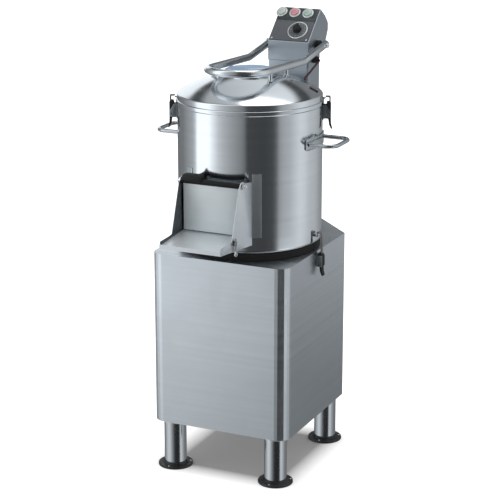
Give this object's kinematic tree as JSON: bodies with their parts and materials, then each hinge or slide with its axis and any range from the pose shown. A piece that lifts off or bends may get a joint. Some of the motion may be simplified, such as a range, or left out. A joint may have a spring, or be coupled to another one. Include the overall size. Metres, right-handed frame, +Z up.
{
  "type": "electric potato peeler",
  "caption": "Floor-standing electric potato peeler: steel cabinet on flanged legs, round drum with domed lid on a tube arm, discharge chute with hinged door and a rear column with controls.",
  "frame": {"origin": "on the floor, under the middle of the machine's box", "axes": "+Z up, -Y to the front where the chute is, +X to the right as seen from behind the chute looking to the column"},
  "size_m": [0.521, 0.74, 1.1847],
  "materials": {
    "polished_steel": "polished stainless steel",
    "brushed_steel": "brushed stainless steel",
    "bright_steel": "bright steel",
    "grey_metal": "plain grey metal",
    "black_plastic": "satin black",
    "black_rubber": "matte black",
    "panel_grey": "satin dark grey",
    "window_blue": "bluish clear plastic",
    "abrasive_grey": "coarse abrasive coating",
    "motor_paint": "dark machine paint",
    "red_plastic": "red",
    "green_plastic": "pale green",
    "clear_plastic": "pale clear"
  },
  "bodies": {
    "machine": {"cabinet_wrap": "brushed_steel", "cabinet_back": "brushed_steel", "cabinet_deck": "brushed_steel", "cabinet_floor": "brushed_steel", "leg_front_left": "polished_steel", "leg_front_right": "polished_steel", "leg_rear_left": "polished_steel", "leg_rear_right": "polished_steel", "foot_front_left": "black_rubber", "foot_front_right": "black_rubber", "foot_rear_left": "black_rubber", "foot_rear_right": "black_rubber", "drum_shell": "polished_steel", "drum_base_ring": "black_rubber", "drum_floor": "brushed_steel", "abrasive_liner": "abrasive_grey", "bearing_housing": "grey_metal", "motor_body": "motor_paint", "drive_belt": "black_rubber", "drain_pipe": "brushed_steel", "water_inlet": "bright_steel", "mains_gland": "black_plastic", "chute_side_left": "brushed_steel", "chute_side_right": "brushed_steel", "chute_tray": "brushed_steel", "door_rod": "bright_steel", "lid_pivot": "bright_steel", "column_post": "brushed_steel", "control_box": "brushed_steel", "control_panel": "panel_grey", "button_strip": "bright_steel", "timer_ring": "bright_steel", "lid_latch_left_bracket": "bright_steel", "lid_latch_right_bracket": "bright_steel", "base_clamp_left_bracket": "bright_steel", "base_clamp_right_bracket": "bright_steel", "handle_left": "bright_steel", "handle_right": "bright_steel", "sensor_bracket": "grey_metal", "lid_sensor": "black_plastic", "sensor_cable": "black_rubber"},
    "lid": {"lid_dome": "polished_steel", "lid_gasket": "black_rubber", "lid_window": "window_blue", "lid_arm": "polished_steel"},
    "door": {"chute_door": "brushed_steel", "door_handle": "black_plastic"},
    "catch": {"door_catch": "bright_steel"},
    "spindle": {"abrasive_disc": "abrasive_grey", "drive_shaft": "bright_steel", "main_pulley": "grey_metal"},
    "rotor": {"motor_pulley": "grey_metal"},
    "start": {"button_start": "clear_plastic"},
    "stop": {"button_stop": "red_plastic"},
    "light": {"button_light": "green_plastic"},
    "timer": {"timer_knob": "black_plastic"},
    "latch_right": {"lid_latch_right": "black_plastic"},
    "latch_left": {"lid_latch_left": "black_plastic"},
    "clamp_right": {"base_clamp_right": "black_plastic"},
    "clamp_left": {"base_clamp_left": "black_plastic"}
  },
  "joints": [
    {"name": "lid_hinge", "type": "hinge", "parent": "machine", "child": "lid", "pos_m": [0, 0.295, 1.09], "axis": [-1, 0, 0], "range_deg": [0, 90]},
    {"name": "door_hinge", "type": "hinge", "parent": "machine", "child": "door", "pos_m": [0, -0.242, 0.813], "axis": [-1, 0, 0], "range_deg": [0, 75]},
    {"name": "catch_slide", "type": "slide", "parent": "machine", "child": "catch", "axis": [0, 0, 1], "range_m": [0, 0.015]},
    {"name": "disc_spin", "type": "hinge", "parent": "machine", "child": "spindle", "pos_m": [0, -0.013, 0.455], "axis": [0, 0, 1], "continuous": true},
    {"name": "motor_spin", "type": "hinge", "parent": "machine", "child": "rotor", "pos_m": [-0.112, -0.125, 0.455], "axis": [0, 0, 1], "continuous": true},
    {"name": "start_press", "type": "slide", "parent": "machine", "child": "start", "axis": [0, 0.6858, -0.7278], "range_m": [0, 0.003], "stiffness_N_per_m": 400},
    {"name": "stop_press", "type": "slide", "parent": "machine", "child": "stop", "axis": [0, 0.6858, -0.7278], "range_m": [0, 0.003], "stiffness_N_per_m": 400},
    {"name": "light_press", "type": "slide", "parent": "machine", "child": "light", "axis": [0, 0.6858, -0.7278], "range_m": [0, 0.003], "stiffness_N_per_m": 400},
    {"name": "timer_turn", "type": "hinge", "parent": "machine", "child": "timer", "pos_m": [0.017, 0.25866, 1.12906], "axis": [0, 0.6858, -0.7278], "range_deg": [0, 300]},
    {"name": "lid_latch_right_swing", "type": "hinge", "parent": "machine", "child": "latch_right", "pos_m": [0.19193, 0.06454, 0.95], "axis": [-0.3746, 0.9272, 0], "range_deg": [-6, 20]},
    {"name": "lid_latch_left_swing", "type": "hinge", "parent": "machine", "child": "latch_left", "pos_m": [-0.19193, -0.09054, 0.95], "axis": [0.3746, -0.9272, 0], "range_deg": [-6, 20]},
    {"name": "base_clamp_right_swing", "type": "hinge", "parent": "machine", "child": "clamp_right", "pos_m": [0.206, -0.013, 0.575], "axis": [0, 1, 0], "range_deg": [0, 12]},
    {"name": "base_clamp_left_swing", "type": "hinge", "parent": "machine", "child": "clamp_left", "pos_m": [-0.206, -0.013, 0.575], "axis": [0, -1, 0], "range_deg": [0, 12]}
  ],
  "couplings": [
    {"joint": "motor_spin", "follows": "disc_spin", "ratio": 2.815}
  ]
}
